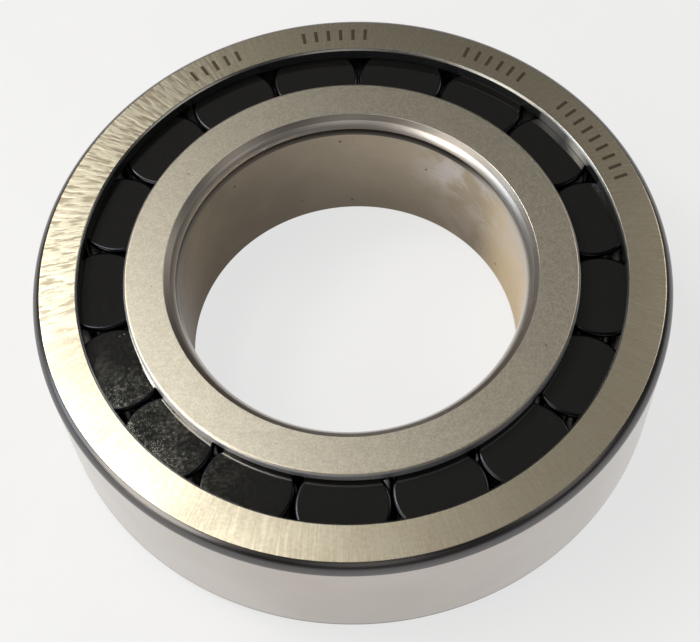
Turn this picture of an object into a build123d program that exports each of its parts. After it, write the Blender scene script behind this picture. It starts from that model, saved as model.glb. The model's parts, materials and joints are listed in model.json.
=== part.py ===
from build123d import *
import math
import os

# Full-complement cylindrical roller bearing, 60 x 110 x 28 mm.
# Origin at the bearing's centre, +Z along its axis. The upper face is the one with both ribs.

# Boundary dimensions
BORE_DIA = 60.0
OUTSIDE_DIA = 110.0
WIDTH = 28.0

# Rollers
ROLLER_COUNT = 17
ROLLER_DIA = 15.7
PITCH_RADIUS = 43.1
ROLLER_EDGE = 0.6           # rounding between a roller's side and its end
ROLLER_RECESS = 2.5         # from a ring's face down to the roller ends
FIRST_ROLLER_ANGLE = 10.8   # degrees from +X

# Clearances
RACEWAY_GAP = 0.05          # between a roller and either raceway
RIB_GAP = 0.1               # between a roller's end and a rib

# Ribs and raceway undercuts
RIB_THICK = ROLLER_RECESS - RIB_GAP
OUTER_RIB_RADIUS = 47.05
OUTER_RIB_CHAMFER = 0.35
INNER_RIB_RADIUS = 39.25
INNER_RIB_BEVEL = (0.4, 1.4)    # radial, axial
UNDERCUT_DEEP = 0.3
UNDERCUT_WIDE = 0.8

# Corners of the rings
OUTSIDE_CORNER = (1.5, 2.4)     # radial, axial: an arc that runs into the outside diameter
BORE_CHAMFER = (0.9, 0.8)       # radial, axial, at the upper mouth
BORE_ARC_RADIAL = 1.35          # radial reach of the arc between that chamfer and the bore
BORE_ARC_RADIUS = 4.9
LOWER_BORE_CHAMFER = 1.0

# Retaining ring and its groove in the open side of the outer ring
SNAP_THICK = 1.2
SNAP_OUTER_RADIUS = 52.4
SNAP_INNER_RADIUS = 48.6
SNAP_GAP = 7.0                  # opening between its two ends
SNAP_END_ROUND = 0.8
GROOVE_RADIUS = 52.5
GROOVE_PLAY = 0.05
LEAD_IN = 0.5                   # chamfer where the rollers go in

HALF = WIDTH / 2
BORE_RADIUS = BORE_DIA / 2
OUTSIDE_RADIUS = OUTSIDE_DIA / 2
ROLLER_RADIUS = ROLLER_DIA / 2
ROLLER_LENGTH = WIDTH - 2 * ROLLER_RECESS
INNER_RACEWAY = PITCH_RADIUS - ROLLER_RADIUS - RACEWAY_GAP
OUTER_RACEWAY = PITCH_RADIUS + ROLLER_RADIUS + RACEWAY_GAP
RIB_FACE = HALF - RIB_THICK
SNAP_LIP = RIB_THICK - SNAP_THICK   # of the outer ring, below the snap ring


def straight(points):
    """Lines joining a run of (radius, height) points in the half-plane of revolution."""
    return list(Polyline(*[(radius, 0, height) for radius, height in points]).edges())


def tangent_arc(start, end, radius, height_sign):
    """Convex arc from a tangent point on a cylinder to a point nearer the face."""
    reach = abs(end[0] - start[0])
    angle = math.acos(1 - reach / radius)
    outward = 1 if end[0] > start[0] else -1
    middle_radius = start[0] + outward * radius * (1 - math.cos(angle / 2))
    middle_height = start[1] + height_sign * radius * math.sin(angle / 2)
    arc = ThreePointArc(
        (start[0], 0, start[1]),
        (middle_radius, 0, middle_height),
        (end[0], 0, end[1]),
    )
    return [arc.edge()]


def revolved(edges):
    """Closed outline swept once round the bearing's axis."""
    return revolve(make_face(Wire(edges)), Axis.Z)


def outer_ring():
    """Ring with one integral rib on the upper side and a snap-ring groove on the lower side."""
    radial, axial = OUTSIDE_CORNER
    corner_angle = 2 * math.atan(radial / axial)
    corner_radius = axial / math.sin(corner_angle)
    tangent = HALF - axial
    face_radius = OUTSIDE_RADIUS - radial
    groove_top = -HALF + SNAP_LIP + SNAP_THICK + GROOVE_PLAY
    undercut = OUTER_RACEWAY + UNDERCUT_DEEP
    inside = straight([
        (face_radius, -HALF),
        (OUTER_RACEWAY + LEAD_IN, -HALF),
        (OUTER_RACEWAY, -HALF + LEAD_IN),
        (OUTER_RACEWAY, -HALF + SNAP_LIP),
        (GROOVE_RADIUS, -HALF + SNAP_LIP),
        (GROOVE_RADIUS, groove_top),
        (OUTER_RACEWAY, groove_top),
        (OUTER_RACEWAY, RIB_FACE - UNDERCUT_WIDE),
        (undercut, RIB_FACE - UNDERCUT_WIDE + UNDERCUT_DEEP),
        (undercut, RIB_FACE),
        (OUTER_RIB_RADIUS, RIB_FACE),
        (OUTER_RIB_RADIUS, HALF - OUTER_RIB_CHAMFER),
        (OUTER_RIB_RADIUS + OUTER_RIB_CHAMFER, HALF),
        (face_radius, HALF),
    ])
    upper = tangent_arc((OUTSIDE_RADIUS, tangent), (face_radius, HALF), corner_radius, 1)
    lower = tangent_arc((OUTSIDE_RADIUS, -tangent), (face_radius, -HALF), corner_radius, -1)
    side = [Line((OUTSIDE_RADIUS, 0, tangent), (OUTSIDE_RADIUS, 0, -tangent)).edge()]
    return revolved(inside + upper + side + lower)


def inner_ring():
    """Ring with a rib on both sides of its raceway, and a bore that is rounded at the top."""
    bevel_radial, bevel_axial = INNER_RIB_BEVEL
    chamfer_radial, chamfer_axial = BORE_CHAMFER
    arc_radius_end = BORE_RADIUS + BORE_ARC_RADIAL
    arc_angle = math.acos(1 - BORE_ARC_RADIAL / BORE_ARC_RADIUS)
    arc_end = HALF - chamfer_axial
    arc_start = arc_end - BORE_ARC_RADIUS * math.sin(arc_angle)
    undercut = INNER_RACEWAY - UNDERCUT_DEEP
    half_outline = [
        (arc_radius_end, arc_end),
        (arc_radius_end + chamfer_radial, HALF),
        (INNER_RIB_RADIUS - bevel_radial, HALF),
        (INNER_RIB_RADIUS, HALF - bevel_axial),
        (INNER_RIB_RADIUS, RIB_FACE),
        (undercut, RIB_FACE),
        (undercut, RIB_FACE - UNDERCUT_WIDE + UNDERCUT_DEEP),
        (INNER_RACEWAY, RIB_FACE - UNDERCUT_WIDE),
    ]
    mirrored = [(radius, -height) for radius, height in reversed(half_outline)]
    lower_mouth = [
        (BORE_RADIUS + LOWER_BORE_CHAMFER, -HALF),
        (BORE_RADIUS, -HALF + LOWER_BORE_CHAMFER),
        (BORE_RADIUS, arc_start),
    ]
    outside = straight(half_outline + mirrored[:-2] + lower_mouth)
    upper = tangent_arc((BORE_RADIUS, arc_start), half_outline[0], BORE_ARC_RADIUS, 1)
    return revolved(outside + upper)


def retaining_ring():
    """Flat split ring of rectangular section that closes the open side of the outer ring."""
    blank = Cylinder(SNAP_OUTER_RADIUS, SNAP_THICK) - Cylinder(SNAP_INNER_RADIUS, SNAP_THICK)
    middle = (SNAP_OUTER_RADIUS + SNAP_INNER_RADIUS) / 2
    ring = blank - Pos(0, -middle, 0) * Box(SNAP_GAP, 2 * middle - SNAP_GAP, SNAP_THICK)
    ends = [
        edge for edge in ring.edges().filter_by(Axis.Z)
        if edge.center().Y < 0 and abs(abs(edge.center().X) - SNAP_GAP / 2) < 1e-3
    ]
    ring = fillet(ends, SNAP_END_ROUND)
    return Pos(0, 0, -HALF + SNAP_LIP + SNAP_THICK / 2) * ring


def roller(index):
    """Plain cylindrical roller with rounded edges, standing at its place on the pitch circle."""
    body = Cylinder(ROLLER_RADIUS, ROLLER_LENGTH)
    body = fillet(body.edges().filter_by(GeomType.CIRCLE), ROLLER_EDGE)
    angle = math.radians(FIRST_ROLLER_ANGLE + index * 360 / ROLLER_COUNT)
    return Pos(PITCH_RADIUS * math.cos(angle), PITCH_RADIUS * math.sin(angle), 0) * body


nodes = {
    "outer_ring": outer_ring(),
    "inner_ring": inner_ring(),
    "retaining_ring": retaining_ring(),
}
for number in range(ROLLER_COUNT):
    nodes[f"roller_{number + 1:02d}"] = roller(number)

os.makedirs("parts", exist_ok=True)
for name, shape in nodes.items():
    export_step(shape, f"parts/{name}.step")
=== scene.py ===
import json
import math
import random

import bpy
from mathutils import Matrix, Vector


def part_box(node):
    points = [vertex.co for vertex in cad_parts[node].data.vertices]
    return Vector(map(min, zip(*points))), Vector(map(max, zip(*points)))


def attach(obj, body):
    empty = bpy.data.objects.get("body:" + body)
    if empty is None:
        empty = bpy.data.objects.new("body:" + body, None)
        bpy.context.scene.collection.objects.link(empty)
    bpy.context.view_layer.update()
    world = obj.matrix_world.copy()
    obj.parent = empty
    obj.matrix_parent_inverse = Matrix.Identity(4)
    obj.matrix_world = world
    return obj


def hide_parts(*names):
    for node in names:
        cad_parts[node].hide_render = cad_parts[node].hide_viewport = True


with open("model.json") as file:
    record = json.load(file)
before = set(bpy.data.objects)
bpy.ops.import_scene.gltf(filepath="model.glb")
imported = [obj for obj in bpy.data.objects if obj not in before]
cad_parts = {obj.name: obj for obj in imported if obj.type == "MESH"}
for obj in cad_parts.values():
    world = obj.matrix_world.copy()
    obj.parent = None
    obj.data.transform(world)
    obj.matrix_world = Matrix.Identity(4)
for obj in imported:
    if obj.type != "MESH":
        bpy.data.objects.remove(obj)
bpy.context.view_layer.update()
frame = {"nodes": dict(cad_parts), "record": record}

# ---------------------------------------------------------------- sizes, in metres
MM = 0.001
AROUND = 720                # steps round a ring
ROLLER_AROUND = 144         # steps round a roller
ROLLER_EDGE_STEPS = 8
CORNER_STEPS = 16
MOUTH_STEPS = 32            # along the arc in the bore's mouth
EASED_STEPS = 4             # along every other rounded edge

outer_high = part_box("outer_ring")[1]
inner_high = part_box("inner_ring")[1]
snap_low, snap_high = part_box("retaining_ring")
first_low, first_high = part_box("roller_01")

HALF = outer_high.z         # half the bearing's width
OUTSIDE = outer_high.x
ROLLER_RADIUS = (first_high.x - first_low.x) / 2
ROLLER_TOP = first_high.z
PITCH = ((first_low + first_high) / 2).xy.length
RACEWAY_GAP = 0.05 * MM
INNER_RACEWAY = PITCH - ROLLER_RADIUS - RACEWAY_GAP
OUTER_RACEWAY = PITCH + ROLLER_RADIUS + RACEWAY_GAP
BORE = frame["record"]["mounts"][0]["dims"]["r_mm"] * MM

ROLLER_PLAY = 0.1 * MM              # between a roller's end and the rib beside it
RIB_FACE = ROLLER_TOP + ROLLER_PLAY     # the ribs' inner faces
OUTER_RIB = 47.05 * MM              # radius of the outer ring's rib
OUTER_RIB_CHAMFER = 0.35 * MM
INNER_RIB = inner_high.x            # radius of the inner ring's ribs
INNER_BEVEL = (0.4 * MM, 1.4 * MM)  # radial, axial
INNER_RIM = (0.08 * MM, 0.38 * MM)  # inset and depth of the upper bevel's bend
RIM_ROUNDING = 0.2 * MM             # of that bend and of the bevel's edge at the face
CORNER = (1.5 * MM, 2.4 * MM)       # the outer ring's rounded outer corners
BORE_CHAMFER = (0.9 * MM, 0.8 * MM)
BORE_ARC = 1.35 * MM                # radial reach of the arc between that chamfer and the bore
BORE_ARC_RADIUS = 4.9 * MM
LOWER_BORE_CHAMFER = 1.0 * MM
SHADED_MOUTH = (10.7 * MM, 11.9 * MM)    # heights between which the arc is darkened by painted shade
UNDERCUT = 0.3 * MM                 # depth of the reliefs where raceway and rib meet
UNDERCUT_WIDE = 0.8 * MM
LEAD_IN = 0.5 * MM                  # chamfer where the rollers go in
GROOVE = 52.5 * MM                  # radius of the retaining ring's groove
GROOVE_PLAY = 0.05 * MM
SNAP_GAP = 7 * MM                   # between the retaining ring's ends
SNAP_INNER = 48.6 * MM
SNAP_OUTER = 52.4 * MM
SNAP_ROUNDING = 0.12 * MM
ROLLER_EDGE = 0.6 * MM              # rounding of the rollers' edges
BROKEN = 0.07 * MM                  # rounding of every other edge
MOST_OF_SIDE = 0.45                 # share of an outline's side that a rounding may take
LEVEL = 0.999                       # a normal steeper than this belongs to a level face
ROLLER_LEAN = 0.008                 # how far roller ends may seem to lean, as a slope
SEED = 7

MARK_INNER = 49.4 * MM              # the etched bars' inner and outer radii
MARK_OUTER = 51.9 * MM
MARK_PITCH = math.radians(2.6)
MARK_DUTY = 0.28                    # share of the pitch that a bar takes
MARK_GROUPS = ((122.0, 5), (97.0, 6), (62.0, 6), (38.0, 9))    # first bar's azimuth, bars

STROKE_CENTRE = (-2 * MM, 11 * MM, 0.0)     # where the grinding strokes point
BOLD_LIT_SIDE = (-0.88, 0.47, 0.0)              # the side with the boldest strokes, which a painted highlight also brightens
MOUTH_SHADE_SIDE = (-0.5, 0.87, 0.0)               # the side where painted shade lines the bore's mouth
HAZY_LIT_PLACE = (-33 * MM, -28 * MM, ROLLER_TOP)  # where the roller ends are haziest; that haze is partly real and partly a painted reflection of the light
LINE_BUMP = 0.003 * MM                      # height of the fine lines round the axis
LINE_BUMP_STRENGTH = 0.4
STROKE_BUMP = 0.045 * MM
GRAIN_BUMP = 0.018 * MM
GRAIN_BUMP_STRENGTH = 0.7
SPECK_CORE = 0.4                            # share of a speck's radius at full strength
PATCH_EDGE = 0.03                           # how softly a patch of specks ends
NOISE_LOW = 0.3                             # usual range of a noise
NOISE_HIGH = 0.7

# ---------------------------------------------------------------- stage
FLOOR_REACH = 3.0           # from the middle to each side
FLOOR_GAP = 0.05 * MM       # under the bearing, so that the two faces don't coincide
FLOOR_GLOW = 0.72
WORLD_GLOW = 0.04
WARM_LIGHT = (1.0, 0.955, 0.88)
NEUTRAL_LIGHT = (0.92, 0.98, 1.0)
COOL_LIGHT = (0.78, 0.89, 1.0)
# Name, azimuth and elevation in degrees, distance and diameter in metres, power in watts, colour.
LIGHTS = (
    ("window_high", 172, 71, 0.70, 0.20, 0.80, WARM_LIGHT),
    ("window_middle", 136, 65, 0.70, 0.12, 0.58, NEUTRAL_LIGHT),
    ("window_low", 155, 49, 0.70, 0.20, 1.90, WARM_LIGHT),
    ("window_left", 172, 49, 0.70, 0.20, 0.50, WARM_LIGHT),
    ("window_right", 122, 43, 0.70, 0.20, 0.20, WARM_LIGHT),
    ("back_right", 40, 45, 0.70, 0.20, 0.22, WARM_LIGHT),
    ("right", 30, 35, 0.70, 0.32, 0.60, WARM_LIGHT),
    ("left_low", 180, 16, 0.70, 0.28, 0.54, COOL_LIGHT),
    ("near_left", -150, 25, 0.28, 0.16, 0.30, WARM_LIGHT),
    ("front", -90, 35, 0.70, 0.32, 0.18, WARM_LIGHT),
    ("front_right", -30, 35, 0.70, 0.32, 0.20, WARM_LIGHT),
)
CAMERA_ELEVATION = math.radians(60.67)
CAMERA_ROLL = math.radians(-3.79)
CAMERA_DISTANCE = 260.4 * MM
CAMERA_ASIDE = 0.14 * MM    # how far left of the line to the upper face's centre
CAMERA_DROP = 9.53 * MM     # how far below that line
CAMERA_LENS = 78.17
CAMERA_SENSOR = 36
CAMERA_CLIP = 0.01


# ---------------------------------------------------------------- colours, in linear light
def rgb(red, green, blue):
    return (red, green, blue, 1.0)


GROUND_DARK = rgb(0.44, 0.375, 0.275)
GROUND_PALE = rgb(0.98, 0.89, 0.685)
MARK_COLOUR = rgb(0.10, 0.08, 0.06)
OUTSIDE_DARK = rgb(0.39, 0.335, 0.285)
OUTSIDE_PALE = rgb(0.45, 0.395, 0.345)
TUMBLED_DARK = rgb(0.47, 0.425, 0.345)
TUMBLED_PALE = rgb(0.60, 0.55, 0.45)
PIT_COLOUR = rgb(0.16, 0.13, 0.10)
MOUTH_STEEL = rgb(0.60, 0.55, 0.48)
# colour of the painted shade in the bore's mouth
MOUTH_SHADE = rgb(0.085, 0.075, 0.065)
# bore: painted shade, painted light, a painted golden reflection, and the tints of the first two
BORE_SHADE = rgb(0.10, 0.085, 0.068)
BORE_LIT = rgb(0.42, 0.355, 0.27)
BORE_REFLECTION = rgb(0.74, 0.60, 0.39)
BORE_STAIN = rgb(0.60, 0.57, 0.57)
BORE_SPECK = rgb(0.03, 0.025, 0.02)
BORE_SHADE_TINT = rgb(0.62, 0.58, 0.54)
BORE_LIT_TINT = rgb(1.0, 0.9, 0.75)
END_OILY = rgb(0.22, 0.215, 0.20)
# colour of the haze, also carrying the painted reflection on the roller ends
END_HAZY = rgb(0.32, 0.295, 0.24)
DUST_COLOUR = rgb(0.38, 0.36, 0.31)
SPRING_DARK = rgb(0.06, 0.058, 0.055)
SPRING_PALE = rgb(0.13, 0.125, 0.12)
FLOOR_DARK = rgb(0.14, 0.14, 0.14)
FLOOR_PALE = rgb(0.15, 0.15, 0.15)
FLOOR_GLOW_COLOUR = rgb(1.0, 1.0, 1.0)
WORLD_COLOUR = rgb(0.95, 0.97, 1.0)


# ---------------------------------------------------------------- outlines and meshes
def eased_corner(before, point, after, size, steps=EASED_STEPS):
    """Points of the small curve that rounds off a corner."""
    start = point + (before - point).normalized() * size
    end = point + (after - point).normalized() * size
    for step in range(steps + 1):
        t = step / steps
        yield start * (1 - t) ** 2 + point * 2 * t * (1 - t) + end * t ** 2


def eased(corners, closed=True):
    """Outline of (place, finish) from (radius, height, rounding, finish) corners.

    A finish names the surface from its corner to the next one. A rounding takes at most
    MOST_OF_SIDE of either side."""
    outline = []
    last = len(corners) - 1
    for index, (radius, height, size, finish) in enumerate(corners):
        point = Vector((radius, height))
        before = Vector(corners[index - 1][:2])
        after = Vector(corners[(index + 1) % len(corners)][:2])
        at_end = not closed and index in (0, last)
        if size == 0 or at_end:
            outline.append((point, finish))
            continue
        shorter = min((before - point).length, (after - point).length)
        size = min(size, shorter * MOST_OF_SIDE)
        for place in eased_corner(before, point, after, size):
            outline.append((place, finish))
    return outline


def tangent_curve(start, end, bend, finish, steps=CORNER_STEPS):
    """Corners along a curve that leaves a cylinder at start and has turned by bend at end."""
    reach = end[0] - start[0]
    rise = end[1] - start[1]
    corners = []
    for step in range(steps + 1):
        angle = bend * step / steps
        radius = start[0] + reach * (1 - math.cos(angle)) / (1 - math.cos(bend))
        height = start[1] + rise * math.sin(angle) / math.sin(bend)
        corners.append((radius, height, 0, finish))
    return corners


def outline_normals(outline, closed=True):
    """Outward (radius, height) normal at each place, ruled by the longer of its two sides."""
    count = len(outline)
    normals = []
    for index in range(count):
        total = Vector((0, 0))
        for first, second in ((index - 1, index), (index, index + 1)):
            if not closed and (first < 0 or second >= count):
                continue
            side = outline[second % count][0] - outline[first % count][0]
            if side.length > 0:
                total += Vector((side.y, -side.x)).normalized() * side.length ** 3
        normals.append(total.normalized())
    return normals


def swept_places(outline, angles, centre, closed, lean):
    """Vertices and normals of an outline at each angle, and each angle's row of vertex numbers.

    A place on the axis becomes one vertex."""
    normals = outline_normals(outline, closed)
    verts, vert_normals, rows = [], [], []
    on_axis = {}
    for angle in angles:
        cos = math.cos(angle)
        sin = math.sin(angle)
        row = []
        for index, (place, _) in enumerate(outline):
            if place.x == 0 and index in on_axis:
                row.append(on_axis[index])
                continue
            if place.x == 0:
                on_axis[index] = len(verts)
            row.append(len(verts))
            verts.append((centre[0] + place.x * cos, centre[1] + place.x * sin, place.y))
            side = normals[index]
            lean_x, lean_y = lean if abs(side.y) > LEVEL else (0, 0)
            vert_normals.append((side.x * cos + lean_x, side.x * sin + lean_y, side.y))
        rows.append(row)
    return verts, vert_normals, rows


def swept_faces(outline, rows, finishes, closed, ends):
    """Faces between neighbouring rows, and each face's material slot."""
    faces, slots = [], []
    count = len(outline)
    sides = count if closed else count - 1
    turns = len(rows) - 1 if ends else len(rows)
    for turn in range(turns):
        here = rows[turn]
        there = rows[(turn + 1) % len(rows)]
        for index in range(sides):
            after = (index + 1) % count
            loop = (here[index], there[index], there[after], here[after])
            faces.append(list(dict.fromkeys(loop)))
            slots.append(finishes.index(outline[index][1]))
    return faces, slots


def sweep(name, outline, angles, finishes, centre=(0, 0), closed=True, ends=False, lean=(0, 0)):
    """Mesh of an outline swept round the vertical axis through centre.

    The outline runs anticlockwise, with the solid on its left. Without closed, it is open
    from axis to axis. With ends, the sweep stops at the last angle and has a flat face at
    each end. A lean tips the shading of level faces by that slope in x and y."""
    verts, vert_normals, rows = swept_places(outline, angles, centre, closed, lean)
    faces, slots = swept_faces(outline, rows, finishes, closed, ends)
    smooth = [True] * len(faces)
    if ends:
        faces += [rows[0], rows[-1][::-1]]
        slots += [0, 0]
        smooth += [False, False]
    mesh = bpy.data.meshes.new(name)
    mesh.from_pydata(verts, [], faces)
    mesh.polygons.foreach_set("material_index", slots)
    mesh.polygons.foreach_set("use_smooth", smooth)
    mesh.update()
    if not ends:
        mesh.normals_split_custom_set_from_vertices(vert_normals)
    return mesh


def full_turn(steps):
    return [2 * math.pi * step / steps for step in range(steps)]


def piece(name, mesh, materials, body, node):
    """Object that rides on a CAD body and stands for its node. materials goes by finish."""
    made = bpy.data.objects.new(name, mesh)
    bpy.context.scene.collection.objects.link(made)
    for material in materials.values():
        mesh.materials.append(material)
    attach(made, body)
    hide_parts(node)


# ---------------------------------------------------------------- materials
class Graph:
    """A material's node tree, written in short calls."""

    def __init__(self, name, **shader_values):
        self.material = bpy.data.materials.new(name)
        self.material.use_nodes = True
        self.tree = self.material.node_tree
        self.shader = self.tree.nodes["Principled BSDF"]
        for key, value in shader_values.items():
            self.shader.inputs[key.replace("_", " ")].default_value = value
        self.place = self.node("TexCoord").outputs["Object"]

    def node(self, kind, inputs=None, **settings):
        made = self.tree.nodes.new("ShaderNode" + kind)
        for key, value in settings.items():
            setattr(made, key, value)
        for key, value in (inputs or {}).items():
            self.feed(made.inputs[key], value)
        return made

    def feed(self, socket, value):
        if isinstance(value, bpy.types.NodeSocket):
            self.tree.links.new(value, socket)
        else:
            socket.default_value = value

    def math(self, operation, *values):
        return self.node("Math", dict(enumerate(values)), operation=operation).outputs[0]

    def vector(self, operation, *values):
        made = self.node("VectorMath", dict(enumerate(values)), operation=operation)
        return made.outputs["Value" if operation in ("LENGTH", "DOT_PRODUCT") else "Vector"]

    def scaled(self, vector, factor):
        made = self.node("VectorMath", {0: vector, "Scale": factor}, operation="SCALE")
        return made.outputs["Vector"]

    def noise(self, vector, detail=2.0, rough=0.5):
        """Noise at a place that is already scaled to one feature per unit."""
        inputs = {"Vector": vector, "Scale": 1.0, "Detail": detail, "Roughness": rough}
        return self.node("TexNoise", inputs).outputs["Fac"]

    def grains(self, per_metre, detail=2.0, rough=0.5):
        """Noise with so many grains per metre of the object."""
        return self.noise(self.scaled(self.place, per_metre), detail, rough)

    def ramp(self, value, low, high, to_low=0.0, to_high=1.0):
        """value from low..high, eased, to to_low..to_high."""
        inputs = {"Value": value, "From Min": low, "From Max": high}
        inputs |= {"To Min": to_low, "To Max": to_high}
        made = self.node("MapRange", inputs, interpolation_type="SMOOTHSTEP")
        return made.outputs["Result"]

    def spread(self, noise, to_low=0.0, to_high=1.0):
        """A noise's usual range, eased, to to_low..to_high."""
        return self.ramp(noise, NOISE_LOW, NOISE_HIGH, to_low, to_high)

    def blend(self, factor, first, second):
        """Colour between two others: the node's sockets 6 and 7 are its A and B."""
        made = self.node("Mix", {"Factor": factor, 6: first, 7: second}, data_type="RGBA")
        return made.outputs[2]

    def bump(self, height, distance, strength=1.0):
        inputs = {"Height": height, "Distance": distance, "Strength": strength}
        return self.node("Bump", inputs).outputs["Normal"]

    def polar(self, centre=(0.0, 0.0, 0.0)):
        """(unit vector, radius, height) at the shaded place, from the axis through centre."""
        place = self.vector("SUBTRACT", self.place, centre)
        parts = self.node("SeparateXYZ", {"Vector": place})
        flat = self.node("CombineXYZ", {"X": parts.outputs[0], "Y": parts.outputs[1]}).outputs[0]
        return self.vector("NORMALIZE", flat), self.vector("LENGTH", flat), parts.outputs[2]

    def lined(self, rings):
        """Shading normal of fine lines round the axis."""
        return self.bump(rings, LINE_BUMP, LINE_BUMP_STRENGTH)

    def use(self, **sockets):
        """Feed the shader's sockets, and give the finished material."""
        for key, value in sockets.items():
            self.feed(self.shader.inputs[key.replace("_", " ")], value)
        return self.material


def ground_face():
    """Outer ring's faces: grinding strokes over a fine satin ground, boldest at the bold side,
    where a painted highlight also brightens them.

    The strokes point at a place beside the ring's axis."""
    g = Graph("ground_face", Metallic=1.0)
    unit, radius, height = g.polar()
    bold = strokes(g, across=64.0, along=300.0, detail=1.5, rough=0.5)
    fine = strokes(g, across=230.0, along=200.0, detail=3.0, rough=0.6)
    long = strokes(g, across=95.0, along=60.0, detail=2.0, rough=0.6)
    grain = g.grains(1500.0, 2.0, 0.6)
    cloud = g.grains(90.0, 3.0, 0.5)
    boldness_and_light = g.ramp(g.vector("DOT_PRODUCT", unit, BOLD_LIT_SIDE), 0.68, 0.95, 0.03, 1.0)
    # partly real strokes, partly painted highlight: on the bold side the tone is raised as well
    # as more contrasty
    tone = g.math("MULTIPLY", g.ramp(bold, 0.33, 0.56, -0.50, 0.85), boldness_and_light)
    tone = g.math("ADD", tone, g.spread(fine, -0.12, 0.12))
    tone = g.math("ADD", tone, g.ramp(long, 0.52, 0.74, -0.03, 0.22))
    tone = g.math("ADD", tone, g.spread(grain, -0.10, 0.10))
    tone = g.math("ADD", tone, g.spread(cloud, -0.10, 0.10))
    colour = g.blend(g.ramp(tone, -0.6, 0.8), GROUND_DARK, GROUND_PALE)
    marks = etched_marks(g, unit, radius, height)
    colour = g.blend(marks, colour, MARK_COLOUR)
    relief = g.math("ADD", g.math("MULTIPLY", bold, boldness_and_light), g.math("MULTIPLY", fine, 0.12))
    rough = g.ramp(tone, -0.5, 0.5, 0.38, 0.31)
    return g.use(
        Base_Color=colour,
        Roughness=g.math("ADD", rough, g.math("MULTIPLY", marks, 0.2)),
        Normal=g.bump(relief, STROKE_BUMP),
    )


def strokes(g, across, along, detail, rough):
    """Noise in strokes towards STROKE_CENTRE, so many across a radian and along a metre."""
    unit, radius, _ = g.polar(STROKE_CENTRE)
    out = g.node("CombineXYZ", {"Z": g.math("MULTIPLY", radius, along)}).outputs[0]
    return g.noise(g.vector("ADD", g.scaled(unit, across), out), detail, rough)


def etched_marks(g, unit, radius, height):
    """Mask of plain, evenly spaced bars in a few groups, standing for a maker's marking."""
    parts = g.node("SeparateXYZ", {"Vector": unit})
    angle = g.math("ARCTAN2", parts.outputs[1], parts.outputs[0])
    total = None
    for start, bars in MARK_GROUPS:
        steps = g.math("DIVIDE", g.math("SUBTRACT", math.radians(start), angle), MARK_PITCH)
        inside = g.math(
            "MULTIPLY",
            g.math("GREATER_THAN", steps, 0.0),
            g.math("LESS_THAN", steps, float(bars)),
        )
        bar = g.math("LESS_THAN", g.math("FRACT", steps), MARK_DUTY)
        group = g.math("MULTIPLY", inside, bar)
        total = group if total is None else g.math("MAXIMUM", total, group)
    band = g.math(
        "MULTIPLY",
        g.math("GREATER_THAN", radius, MARK_INNER),
        g.math("LESS_THAN", radius, MARK_OUTER),
    )
    upper = g.math("GREATER_THAN", height, 0.0)
    return g.math("MULTIPLY", total, g.math("MULTIPLY", band, upper))


def ring_lines(g, per_metre, swirl=3.0):
    """Noise in fine lines round the axis, which change swirl times in a radian."""
    unit, radius, height = g.polar()
    climb = g.math("MULTIPLY", g.math("ADD", height, radius), per_metre)
    lines = g.node("CombineXYZ", {"Z": climb}).outputs[0]
    return g.noise(g.vector("ADD", g.scaled(unit, swirl), lines), 2.0, 0.6)


def ground_cylinder():
    """Outside diameter: fine grinding lines round the axis, satin, under a film of oil."""
    g = Graph("ground_cylinder", Metallic=1.0, Coat_Weight=1.0, Coat_Roughness=0.25)
    rings = ring_lines(g, 9000.0)
    cloud = g.grains(45.0, 3.0, 0.5)
    colour = g.blend(g.spread(cloud), OUTSIDE_DARK, OUTSIDE_PALE)
    return g.use(
        Base_Color=colour,
        Roughness=g.spread(rings, 0.28, 0.36),
        Normal=g.lined(rings),
    )


def turned_corner(name, colour, rough):
    """Turned corners and chamfers: smooth and glossy, with faint tool lines round the axis."""
    g = Graph(name, Metallic=1.0)
    rings = ring_lines(g, 7000.0, 2.0)
    tone = g.spread(rings, 0.85, 1.0)
    return g.use(
        Base_Color=g.scaled(colour, tone),
        Roughness=g.spread(rings, rough, rough + 0.08),
        Normal=g.lined(rings),
    )


def blasted_face():
    """Inner ring's faces: matt tumbled steel with a fine grain and small dark pits."""
    g = Graph("blasted_face", Metallic=1.0)
    grain = g.grains(3400.0, 2.0, 0.6)
    soft = g.grains(1100.0, 2.0, 0.5)
    pits = specks(g, per_metre=420.0, size=0.11, patches=160.0, rarity=0.60)
    both = g.math("ADD", g.math("MULTIPLY", grain, 0.75), g.math("MULTIPLY", soft, 0.25))
    colour = g.blend(g.ramp(both, 0.34, 0.66), TUMBLED_DARK, TUMBLED_PALE)
    colour = g.blend(g.math("MULTIPLY", pits, 0.7), colour, PIT_COLOUR)
    relief = g.math("SUBTRACT", both, g.math("MULTIPLY", pits, 0.6))
    return g.use(
        Base_Color=colour,
        Roughness=g.spread(grain, 0.395, 0.425),
        Normal=g.bump(relief, GRAIN_BUMP, GRAIN_BUMP_STRENGTH),
    )


def specks(g, per_metre, size, patches, rarity):
    """Mask of small round specks in patches.

    per_metre and patches count the specks and their patches, size is a share of the specks'
    spacing, and rarity is the level that a patch's noise has to reach."""
    cells = g.node("TexVoronoi", {"Vector": g.scaled(g.place, per_metre), "Scale": 1.0})
    spot = g.ramp(cells.outputs["Distance"], size * SPECK_CORE, size, 1.0, 0.0)
    patch = g.grains(patches, 1.0)
    return g.math("MULTIPLY", spot, g.ramp(patch, rarity - PATCH_EDGE, rarity + PATCH_EDGE))


def shaded_mouth():
    """Line of painted shade in the bore's mouth, which fades out to the right."""
    g = Graph("shaded_mouth", Metallic=1.0)
    unit, _, _ = g.polar()
    # painted shade: dark on the shaded side of the mouth, fading out towards the other side
    oil = g.ramp(g.vector("DOT_PRODUCT", unit, MOUTH_SHADE_SIDE), -0.1, 0.35)
    return g.use(
        Base_Color=g.blend(oil, MOUTH_STEEL, MOUTH_SHADE),
        Roughness=g.spread(ring_lines(g, 7000.0, 2.0), 0.24, 0.32),
    )


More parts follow.
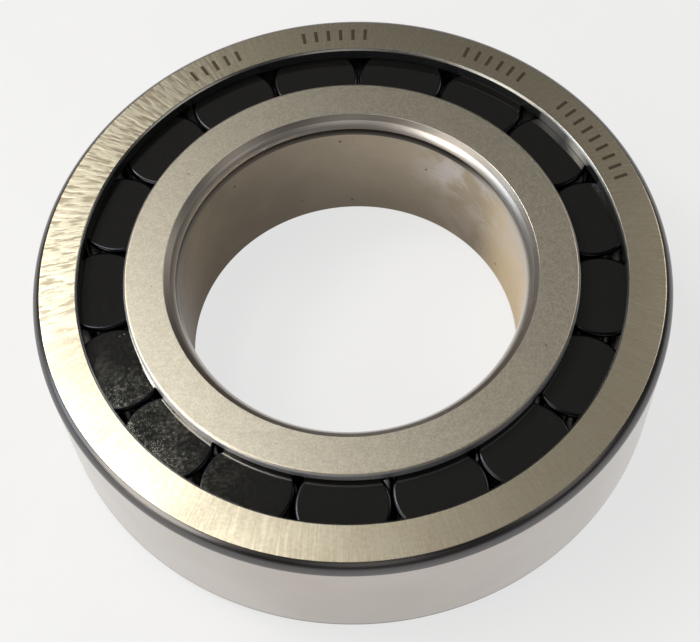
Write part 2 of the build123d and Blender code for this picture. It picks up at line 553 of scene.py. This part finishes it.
def bore_wall():
    """Bore: fine ground, with painted shade at the left and low down, and a painted golden
    reflection at the right.

    Pale stains lie on the right side."""
    g = Graph("bore_wall", Metallic=1.0)
    unit, _, height = g.polar()
    rings = ring_lines(g, 6000.0)
    cloud = g.grains(55.0, 3.0, 0.55)
    across = g.node("SeparateXYZ", {"Vector": unit}).outputs[0]
    # painted light and shade: lighter to the right and higher up, darker at the left and low
    # down, over a random cloud of tone
    painted_light_and_tone = g.math("ADD", g.ramp(across, -1.0, 0.95, 0.16, 0.9), g.spread(cloud, -0.06, 0.08))
    painted_light_and_tone = g.math("MULTIPLY", painted_light_and_tone, g.ramp(height, -HALF, HALF * 0.8, 0.35, 1.0))
    colour = g.blend(painted_light_and_tone, BORE_SHADE, BORE_LIT)
    # painted golden reflection at the far right
    colour = g.blend(g.ramp(across, 0.78, 0.99, 0.0, 0.85), colour, BORE_REFLECTION)
    stain = g.grains(120.0, 4.0, 0.6)
    stained = g.math("MULTIPLY", g.ramp(stain, 0.39, 0.63), g.ramp(across, 0.35, 0.75))
    stained = g.math("MULTIPLY", stained, g.ramp(height, -5 * MM, 5 * MM, 0.1, 0.8))
    colour = g.blend(stained, colour, BORE_STAIN)
    dirt = specks(g, per_metre=260.0, size=0.09, patches=130.0, rarity=0.58)
    colour = g.blend(dirt, colour, BORE_SPECK)
    return g.use(
        Base_Color=colour,
        # the specular tint follows the same painted light and shade
        Specular_Tint=g.blend(painted_light_and_tone, BORE_SHADE_TINT, BORE_LIT_TINT),
        Roughness=g.spread(rings, 0.26, 0.36),
        Normal=g.lined(rings),
    )


def polished(name, colour, rough, metallic=1.0):
    """Raceways, ribs, roller sides and edges: fine ground and polished, with a film of oil."""
    g = Graph(name, Metallic=metallic)
    rings = ring_lines(g, 4000.0, 2.0)
    cloud = g.grains(120.0, 2.0, 0.5)
    tone = g.math("MULTIPLY", g.spread(rings, 0.8, 1.0), g.spread(cloud, 0.85, 1.0))
    return g.use(
        Base_Color=g.scaled(colour, tone),
        Roughness=g.spread(cloud, rough, rough + 0.06),
    )


def roller_end():
    """Roller ends: near mirror, dark with oil, with haze and specks; the haze is strongest near
    one place, partly real haze and partly a painted reflection of the light there.
    """
    g = Graph("roller_end", Metallic=0.97)
    film = g.grains(1700.0, 3.0, 0.7)
    smear = g.grains(180.0, 2.0, 0.5)
    away = g.vector("LENGTH", g.vector("SUBTRACT", g.place, HAZY_LIT_PLACE))
    # partly painted reflection: the lighter haze gathers near one place
    haze_and_sheen = g.ramp(away, 6 * MM, 26 * MM, 1.0, 0.06)
    dust = specks(g, per_metre=640.0, size=0.10, patches=300.0, rarity=0.59)
    both = g.math("ADD", g.math("MULTIPLY", film, 0.6), g.math("MULTIPLY", smear, 0.4))
    haze = g.math("MULTIPLY", g.ramp(both, 0.35, 0.68), haze_and_sheen)
    colour = g.blend(haze, END_OILY, END_HAZY)
    colour = g.blend(g.math("MULTIPLY", dust, 0.3), colour, DUST_COLOUR)
    rough = g.math("ADD", g.ramp(film, 0.3, 0.75, 0.05, 0.08), g.math("MULTIPLY", haze, 0.09))
    return g.use(
        Base_Color=colour,
        Roughness=g.math("ADD", rough, g.math("MULTIPLY", dust, 0.16)),
    )


def snap_steel():
    """Retaining ring: phosphated spring steel."""
    g = Graph("snap_steel", Metallic=0.8)
    grain = g.grains(1800.0, 3.0, 0.6)
    colour = g.blend(g.ramp(grain, 0.35, 0.65), SPRING_DARK, SPRING_PALE)
    return g.use(Base_Color=colour, Roughness=g.spread(grain, 0.4, 0.6))


# ---------------------------------------------------------------- the pieces
def outer_ring_corners():
    radial, axial = CORNER
    bend = 2 * math.atan(radial / axial)
    face = OUTSIDE - radial
    side = HALF - axial
    groove_foot = snap_low.z
    groove_top = snap_high.z + GROOVE_PLAY
    undercut = OUTER_RACEWAY + UNDERCUT
    corners = [
        (OUTER_RIB + OUTER_RIB_CHAMFER, HALF, BROKEN, "edge"),
        (OUTER_RIB, HALF - OUTER_RIB_CHAMFER, BROKEN, "rib"),
        (OUTER_RIB, RIB_FACE, BROKEN, "rib"),
        (undercut, RIB_FACE, BROKEN, "raceway"),
        (undercut, RIB_FACE - UNDERCUT_WIDE + UNDERCUT, BROKEN, "raceway"),
        (OUTER_RACEWAY, RIB_FACE - UNDERCUT_WIDE, BROKEN, "raceway"),
        (OUTER_RACEWAY, groove_top, BROKEN, "raceway"),
        (GROOVE, groove_top, BROKEN, "raceway"),
        (GROOVE, groove_foot, BROKEN, "raceway"),
        (OUTER_RACEWAY, groove_foot, BROKEN, "raceway"),
        (OUTER_RACEWAY, -HALF + LEAD_IN, BROKEN, "edge"),
        (OUTER_RACEWAY + LEAD_IN, -HALF, BROKEN, "face"),
        (face, -HALF, BROKEN, "corner"),
    ]
    lower = tangent_curve((OUTSIDE, -side), (face, -HALF), bend, "corner")
    upper = tangent_curve((OUTSIDE, side), (face, HALF), bend, "corner")
    corners += list(reversed(lower))[1:-1]
    corners.append((OUTSIDE, -side, 0, "cylinder"))
    corners += upper[:-1]
    corners.append((face, HALF, BROKEN, "face"))
    return corners


def build_outer_ring():
    materials = {
        "face": ground_face(),
        "corner": turned_corner("outer_corner", (0.145, 0.14, 0.14), 0.24),
        "cylinder": ground_cylinder(),
        "rib": polished("rib_wall", (0.095, 0.10, 0.108), 0.08, 0.80),
        "edge": turned_corner("rib_edge", (0.42, 0.41, 0.39), 0.20),
        "raceway": polished("outer_raceway", (0.35, 0.34, 0.33), 0.12),
    }
    outline = eased(outer_ring_corners())
    mesh = sweep("outer_ring_body", outline, full_turn(AROUND), list(materials))
    piece("outer_ring_body", mesh, materials, "outer_ring", "outer_ring")


def mouth_finish(height):
    """Finish of the bore's mouth from this height down: bright, then darkened by painted shade,
    then as the bore.
    """
    shade_low, shade_high = SHADED_MOUTH
    if height >= shade_high:
        return "mouth"
    return "shade_band" if height > shade_low else "bore"


def inner_ring_corners():
    bevel_radial, bevel_axial = INNER_BEVEL
    chamfer_radial, chamfer_axial = BORE_CHAMFER
    bend = math.acos(1 - BORE_ARC / BORE_ARC_RADIUS)
    arc_top = (BORE + BORE_ARC, HALF - chamfer_axial)
    arc_foot = (BORE, HALF - chamfer_axial - BORE_ARC_RADIUS * math.sin(bend))
    undercut = INNER_RACEWAY - UNDERCUT
    shoulder = RIB_FACE - UNDERCUT_WIDE
    corners = [
        (BORE + LOWER_BORE_CHAMFER, -HALF, BROKEN, "face"),
        (INNER_RIB - bevel_radial, -HALF, BROKEN, "bevel"),
        (INNER_RIB, -HALF + bevel_axial, BROKEN, "rib"),
        (INNER_RIB, -RIB_FACE, BROKEN, "rib"),
        (undercut, -RIB_FACE, BROKEN, "raceway"),
        (undercut, -shoulder - UNDERCUT, BROKEN, "raceway"),
        (INNER_RACEWAY, -shoulder, BROKEN, "raceway"),
        (INNER_RACEWAY, shoulder, BROKEN, "raceway"),
        (undercut, shoulder + UNDERCUT, BROKEN, "raceway"),
        (undercut, RIB_FACE, BROKEN, "rib"),
        (INNER_RIB, RIB_FACE, BROKEN, "rib"),
        (INNER_RIB, HALF - bevel_axial, BROKEN, "bevel"),
        (INNER_RIB - INNER_RIM[0], HALF - INNER_RIM[1], RIM_ROUNDING, "bevel"),
        (INNER_RIB - bevel_radial, HALF, RIM_ROUNDING, "face"),
        (BORE + BORE_ARC + chamfer_radial, HALF, BROKEN, "chamfer"),
        (*arc_top, BROKEN, "mouth"),
    ]
    curve = tangent_curve(arc_foot, arc_top, bend, "mouth", steps=MOUTH_STEPS)
    for radius, height, size, _ in reversed(curve[:-1]):
        corners.append((radius, height, size, mouth_finish(height)))
    corners.append((BORE, -HALF + LOWER_BORE_CHAMFER, BROKEN, "lower_chamfer"))
    return corners


def build_inner_ring():
    materials = {
        "face": blasted_face(),
        "chamfer": turned_corner("bore_chamfer", (0.45, 0.415, 0.38), 0.30),
        "mouth": turned_corner("bore_mouth", (0.70, 0.66, 0.625), 0.32),
        "bore": bore_wall(),
        "bevel": turned_corner("rim_bevel", (0.86, 0.87, 0.95), 0.42),
        "rib": polished("inner_rib_wall", (0.24, 0.24, 0.27), 0.12),
        "raceway": polished("inner_raceway", (0.35, 0.34, 0.33), 0.12),
        "shade_band": shaded_mouth(),
        "lower_chamfer": turned_corner("lower_chamfer", (0.30, 0.27, 0.24), 0.24),
    }
    outline = eased(inner_ring_corners())
    mesh = sweep("inner_ring_body", outline, full_turn(AROUND), list(materials))
    piece("inner_ring_body", mesh, materials, "inner_ring", "inner_ring")


def build_retaining_ring():
    """Split ring with its gap towards the front."""
    corners = [
        (SNAP_INNER, snap_low.z, SNAP_ROUNDING, "snap"),
        (SNAP_OUTER, snap_low.z, SNAP_ROUNDING, "snap"),
        (SNAP_OUTER, snap_high.z, SNAP_ROUNDING, "snap"),
        (SNAP_INNER, snap_high.z, SNAP_ROUNDING, "snap"),
    ]
    half_gap = SNAP_GAP / 2 / SNAP_INNER
    start = -math.pi / 2 + half_gap
    span = 2 * math.pi - 2 * half_gap
    angles = [start + span * step / AROUND for step in range(AROUND + 1)]
    materials = {"snap": snap_steel()}
    mesh = sweep("retaining_ring_body", eased(corners), angles, list(materials), ends=True)
    piece("retaining_ring_body", mesh, materials, "outer_ring", "retaining_ring")


def roller_corners():
    """A roller's half outline, from the lower end's centre to the upper end's."""
    inset = ROLLER_RADIUS - ROLLER_EDGE
    bottom = []
    top = []
    for step in range(ROLLER_EDGE_STEPS + 1):
        angle = math.pi / 2 * step / ROLLER_EDGE_STEPS
        radius = inset + ROLLER_EDGE * math.sin(angle)
        drop = ROLLER_EDGE * (1 - math.cos(angle))
        bottom.append((radius, -ROLLER_TOP + drop, 0, "edge"))
        top.append((radius, ROLLER_TOP - drop, 0, "edge"))
    bottom[-1] = (ROLLER_RADIUS, -ROLLER_TOP + ROLLER_EDGE, 0, "side")
    top[0] = (inset, ROLLER_TOP, 0, "end")
    lower_end = [(0, -ROLLER_TOP, 0, "end"), (inset / 2, -ROLLER_TOP, 0, "end")]
    upper_end = [(inset / 2, ROLLER_TOP, 0, "end"), (0, ROLLER_TOP, 0, "end")]
    return lower_end + bottom + top[::-1] + upper_end


def build_rollers():
    materials = {
        "end": roller_end(),
        "edge": polished("roller_edge", (0.032, 0.032, 0.037), 0.22),
        "side": polished("roller_side", (0.40, 0.39, 0.37), 0.12),
    }
    outline = eased(roller_corners(), closed=False)
    turn = full_turn(ROLLER_AROUND)
    finishes = list(materials)
    for name in sorted(frame["nodes"]):
        if not name.startswith("roller_"):
            continue
        low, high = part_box(name)
        centre = ((low.x + high.x) / 2, (low.y + high.y) / 2)
        label = name.replace("roller_", "roller_body_")
        lean = [random.uniform(-ROLLER_LEAN, ROLLER_LEAN) for _ in range(2)]
        mesh = sweep(label, outline, turn, finishes, centre, closed=False, lean=lean)
        piece(label, mesh, materials, name, name)


# ---------------------------------------------------------------- stage, lights and camera
def build_floor():
    """Wide pale floor with a soft glow of its own, so that shadows on it stay faint."""
    mesh = bpy.data.meshes.new("floor")
    level = -HALF - FLOOR_GAP
    sides = ((-1, -1), (1, -1), (1, 1), (-1, 1))
    verts = [(x * FLOOR_REACH, y * FLOOR_REACH, level) for x, y in sides]
    mesh.from_pydata(verts, [], [(0, 1, 2, 3)])
    floor = bpy.data.objects.new("floor", mesh)
    bpy.context.scene.collection.objects.link(floor)
    g = Graph(
        "floor",
        Metallic=0.0,
        Roughness=0.9,
        Emission_Color=FLOOR_GLOW_COLOUR,
        Emission_Strength=FLOOR_GLOW,
    )
    grain = g.grains(40.0, 3.0, 0.5)
    colour = g.blend(g.spread(grain), FLOOR_DARK, FLOOR_PALE)
    mesh.materials.append(g.use(Base_Color=colour))


def area_light(name, azimuth, elevation, distance, diameter, power, colour):
    """Round soft light that faces the object from a direction in degrees."""
    data = bpy.data.lights.new(name, "AREA")
    data.shape = "DISK"
    data.size = diameter
    data.energy = power
    data.color = colour
    light = bpy.data.objects.new(name, data)
    bpy.context.scene.collection.objects.link(light)
    flat = math.cos(math.radians(elevation))
    east = math.cos(math.radians(azimuth)) * flat
    north = math.sin(math.radians(azimuth)) * flat
    place = Vector((east, north, math.sin(math.radians(elevation)))) * distance
    light.location = place
    light.rotation_euler = (-place).to_track_quat("-Z", "Y").to_euler()
    light.visible_camera = False


def build_camera():
    back = Vector((0, -math.cos(CAMERA_ELEVATION), math.sin(CAMERA_ELEVATION)))
    level_right = Vector((1, 0, 0))
    level_up = back.cross(level_right)
    right = level_right * math.cos(CAMERA_ROLL) + level_up * math.sin(CAMERA_ROLL)
    up = back.cross(right)
    place = Vector((0, 0, HALF)) + back * CAMERA_DISTANCE
    place -= right * CAMERA_ASIDE + up * CAMERA_DROP
    data = bpy.data.cameras.new("camera")
    data.lens = CAMERA_LENS
    data.sensor_width = CAMERA_SENSOR
    data.clip_start = CAMERA_CLIP
    camera = bpy.data.objects.new("camera", data)
    bpy.context.scene.collection.objects.link(camera)
    matrix = Matrix((right, up, back)).transposed().to_4x4()
    matrix.translation = place
    camera.matrix_world = matrix
    bpy.context.scene.camera = camera


def build_lights():
    world = bpy.data.worlds.new("studio")
    world.use_nodes = True
    background = world.node_tree.nodes["Background"]
    background.inputs["Color"].default_value = WORLD_COLOUR
    background.inputs["Strength"].default_value = WORLD_GLOW
    bpy.context.scene.world = world
    for row in LIGHTS:
        area_light(*row)


random.seed(SEED)
build_outer_ring()
build_inner_ring()
build_retaining_ring()
build_rollers()
build_floor()
build_lights()
build_camera()
bpy.context.scene.view_settings.view_transform = "Standard"

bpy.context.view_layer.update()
